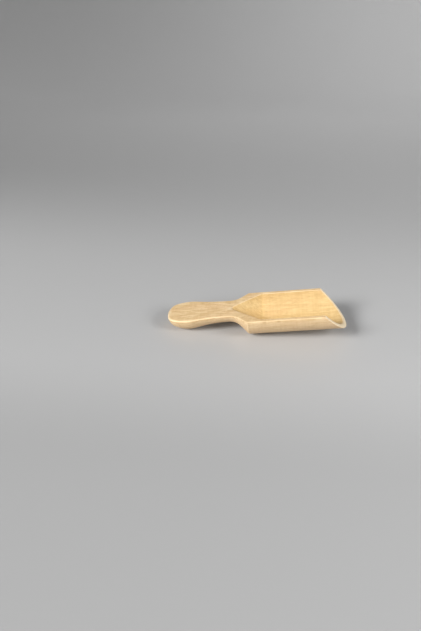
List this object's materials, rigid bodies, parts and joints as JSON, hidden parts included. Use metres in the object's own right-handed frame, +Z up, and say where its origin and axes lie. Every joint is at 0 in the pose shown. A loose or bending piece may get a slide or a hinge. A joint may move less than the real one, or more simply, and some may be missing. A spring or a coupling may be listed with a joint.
{
  "type": "measuring scoop",
  "caption": "Small turned wooden scoop with a half-round drilled bowl, slanted open mouth, flat sawn top and short rounded grip, for measuring dry goods.",
  "frame": {"origin": "on the surface that the scoop rests on, under the middle of its outline", "axes": "+X towards the mouth, level; +Y to the side; +Z up. The turning axis lies in the XZ plane and rises towards the mouth by about 8 degrees, as the scoop rests"},
  "size_m": [0.077, 0.0248, 0.0156],
  "materials": {
    "wood": "bare, finely sanded, satin"
  },
  "bodies": {
    "root": {"scoop": "wood"}
  },
  "joints": []
}
